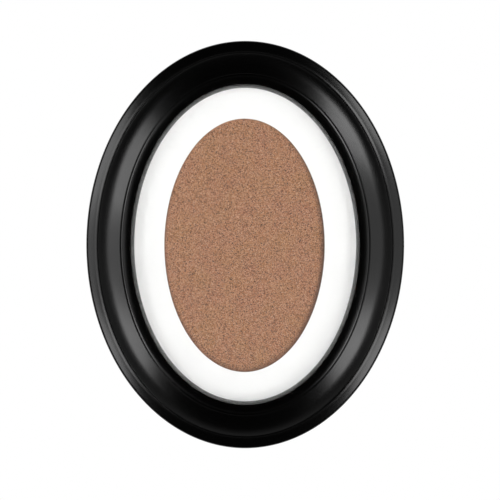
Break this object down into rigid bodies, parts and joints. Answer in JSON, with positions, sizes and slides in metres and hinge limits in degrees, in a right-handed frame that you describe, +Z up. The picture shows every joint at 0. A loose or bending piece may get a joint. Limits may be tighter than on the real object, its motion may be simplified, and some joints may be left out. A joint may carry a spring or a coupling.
{
  "type": "oval picture frame",
  "caption": "Oval wall-hung picture frame: a scooped one-piece moulding holds glass, an oval mat and a backing board, kept in by turn-buttons, with a strap hanger and a ring.",
  "frame": {"origin": "middle of the oval, on the flat back that faces the wall", "axes": "+Z up the long axis of the oval as it hangs, +X to the right seen from the front, +Y out of the back towards the wall, so the front faces -Y"},
  "size_m": [0.238, 0.0238, 0.305],
  "materials": {
    "satin_black_moulding": "fibreboard, sprayed satin black",
    "picture_glass": "clear float glass with seamed edges",
    "mat_card": "smooth white card, cut square",
    "backing_fibreboard": "bare brown fibreboard, fine speckle",
    "zinc_plated_steel": "bright zinc plate"
  },
  "bodies": {
    "frame": {"moulding": "satin_black_moulding", "glass": "picture_glass", "mat_board": "mat_card", "backing_board": "backing_fibreboard", "turn_button_screws": "zinc_plated_steel", "hanger_strap": "zinc_plated_steel", "hanger_screw": "zinc_plated_steel"},
    "turn_button_1": {"turn_button_1": "zinc_plated_steel"},
    "turn_button_2": {"turn_button_2": "zinc_plated_steel"},
    "turn_button_3": {"turn_button_3": "zinc_plated_steel"},
    "turn_button_4": {"turn_button_4": "zinc_plated_steel"},
    "turn_button_5": {"turn_button_5": "zinc_plated_steel"},
    "turn_button_6": {"turn_button_6": "zinc_plated_steel"},
    "hanging_ring": {"hanger_ring": "zinc_plated_steel"}
  },
  "joints": [
    {"name": "turn_button_1_turn", "type": "hinge", "parent": "frame", "child": "turn_button_1", "pos_m": [0.0982, 0, 0], "axis": [0, 1, 0], "continuous": true},
    {"name": "turn_button_2_turn", "type": "hinge", "parent": "frame", "child": "turn_button_2", "pos_m": [0.0491, 0, 0.11449], "axis": [0, 1, 0], "continuous": true},
    {"name": "turn_button_3_turn", "type": "hinge", "parent": "frame", "child": "turn_button_3", "pos_m": [-0.0491, 0, 0.11449], "axis": [0, 1, 0], "continuous": true},
    {"name": "turn_button_4_turn", "type": "hinge", "parent": "frame", "child": "turn_button_4", "pos_m": [-0.0982, 0, 0], "axis": [0, 1, 0], "continuous": true},
    {"name": "turn_button_5_turn", "type": "hinge", "parent": "frame", "child": "turn_button_5", "pos_m": [-0.0491, 0, -0.11449], "axis": [0, 1, 0], "continuous": true},
    {"name": "turn_button_6_turn", "type": "hinge", "parent": "frame", "child": "turn_button_6", "pos_m": [0.0491, 0, -0.11449], "axis": [0, 1, 0], "continuous": true},
    {"name": "hanging_ring_swing", "type": "hinge", "parent": "frame", "child": "hanging_ring", "pos_m": [0, 0.0019, 0.1423], "axis": [1, 0, 0], "range_deg": [0, 180]}
  ]
}
